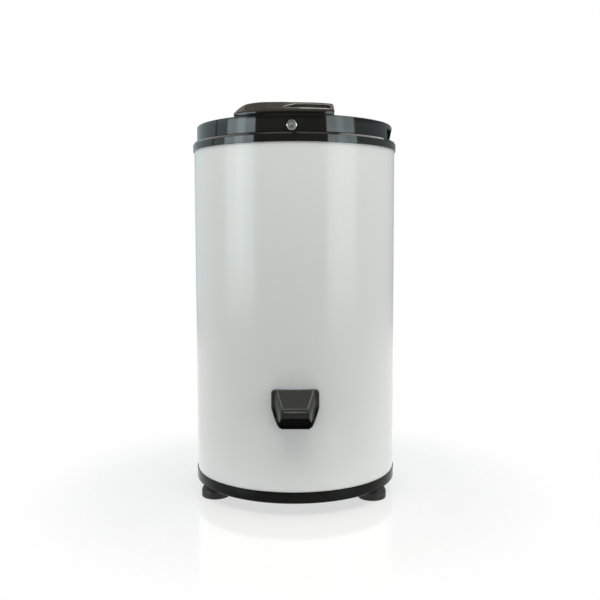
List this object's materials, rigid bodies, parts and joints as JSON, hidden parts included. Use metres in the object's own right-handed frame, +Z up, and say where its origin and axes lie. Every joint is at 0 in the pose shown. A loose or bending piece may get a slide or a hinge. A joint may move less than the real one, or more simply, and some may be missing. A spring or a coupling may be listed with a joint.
{
  "type": "laundry spin dryer",
  "caption": "Free-standing gravity-drain laundry spin dryer: round enamelled casing, black lid with locking lever, perforated drum on a motor with brake, front drain spout and rubber feet.",
  "frame": {"origin": "on the floor, at the centre of the footprint box", "axes": "+Z up, -Y towards the drain spout (the front), +X towards the lid hinge"},
  "size_m": [0.344, 0.401, 0.6372],
  "materials": {
    "white_enamel": "glossy stoved enamel",
    "gloss_black": "high gloss",
    "satin_black": "satin moulded",
    "grey_plastic": "satin moulded",
    "chrome": "polished",
    "zinc_steel": "zinc plated",
    "bright_steel": "machined",
    "stainless": "fine brushed",
    "aluminium_casting": "as cast",
    "rubber_black": "moulded",
    "motor_enamel": "satin enamel",
    "stator_iron": "varnished laminations and copper windings",
    "friction_lining": "rough pressed fibre"
  },
  "bodies": {
    "cabinet": {"base_pan": "gloss_black", "casing": "white_enamel", "collar": "gloss_black", "cable_gland": "satin_black", "tub": "grey_plastic", "tub_gasket": "rubber_black", "tub_post_1": "zinc_steel", "tub_post_2": "zinc_steel", "tub_post_3": "zinc_steel", "drain_duct": "grey_plastic", "spout": "satin_black", "hinge_bracket": "gloss_black", "hinge_pin": "bright_steel", "latch_housing": "grey_plastic", "microswitch": "satin_black", "brake_cable": "rubber_black", "rubber_pillar_left": "rubber_black", "rubber_pillar_right": "rubber_black", "rubber_pillar_rear": "rubber_black", "tub_bellows": "rubber_black", "run_capacitor": "grey_plastic", "foot_left": "rubber_black", "foot_right": "rubber_black", "foot_rear": "rubber_black", "foot_screw_left": "zinc_steel", "foot_screw_right": "zinc_steel", "foot_screw_rear": "zinc_steel"},
    "lid": {"lid_shell": "gloss_black", "lid_pan": "grey_plastic", "lid_seal": "rubber_black", "lid_screw_1": "zinc_steel", "lid_screw_2": "zinc_steel", "lid_screw_3": "zinc_steel", "front_hex_bolt": "chrome", "front_catch_tongue": "zinc_steel"},
    "lever": {"lever_handle": "gloss_black", "lever_screw": "zinc_steel", "lever_cam": "grey_plastic"},
    "latch": {"latch_bolt": "zinc_steel"},
    "slider": {"lock_slider": "grey_plastic"},
    "motor_unit": {"motor_plate": "zinc_steel", "motor_can": "motor_enamel", "motor_end_cap": "aluminium_casting", "bearing_tube": "aluminium_casting", "upper_bearing": "bright_steel", "lower_bearing": "bright_steel", "stator": "stator_iron", "brake_pivot_pin": "bright_steel"},
    "brake": {"brake_lever": "zinc_steel", "brake_shoe": "friction_lining", "brake_spring": "bright_steel"},
    "rotor": {"motor_shaft": "bright_steel", "rotor_core": "bright_steel", "brake_fan_wheel": "aluminium_casting", "drum_hub": "aluminium_casting", "drum": "stainless", "balance_ring": "grey_plastic", "drum_nut": "zinc_steel", "drum_cap": "grey_plastic"}
  },
  "joints": [
    {"name": "lid_hinge", "type": "hinge", "parent": "cabinet", "child": "lid", "pos_m": [0.1585, 0.0165, 0.6135], "axis": [0, 1, 0], "range_deg": [0, 100]},
    {"name": "lever_turn", "type": "hinge", "parent": "lid", "child": "lever", "pos_m": [0, 0.0165, 0.62], "axis": [0, 0, 1], "range_deg": [0, 16]},
    {"name": "latch_slide", "type": "slide", "parent": "lid", "child": "latch", "axis": [-1, 0, 0], "range_m": [0, 0.0121]},
    {"name": "lock_slide", "type": "slide", "parent": "cabinet", "child": "slider", "axis": [-1, 0, 0], "range_m": [0, 0.0029]},
    {"name": "unit_sway", "type": "hinge", "parent": "cabinet", "child": "motor_unit", "pos_m": [0, 0.0165, 0.075], "axis": [1, 0, 0], "range_deg": [-1.5, 1.5], "stiffness_Nm_per_rad": 150, "deforming": ["rubber_pillar_left", "rubber_pillar_right", "rubber_pillar_rear", "tub_bellows", "brake_cable"]},
    {"name": "drum_spin", "type": "hinge", "parent": "motor_unit", "child": "rotor", "pos_m": [0, 0.0165, 0.2], "axis": [0, 0, 1], "continuous": true},
    {"name": "brake_swing", "type": "hinge", "parent": "motor_unit", "child": "brake", "pos_m": [-0.048, 0.0635, 0.043], "axis": [0, 0, -1], "range_deg": [0, 1.7], "deforming": ["brake_spring", "brake_cable"]}
  ],
  "couplings": [
    {"joint": "latch_slide", "follows": "lever_turn", "m_per_rad": 0.042972},
    {"joint": "lock_slide", "follows": "lever_turn", "m_per_rad": 0.010027},
    {"joint": "brake_swing", "follows": "lever_turn", "ratio": 0.10125}
  ]
}
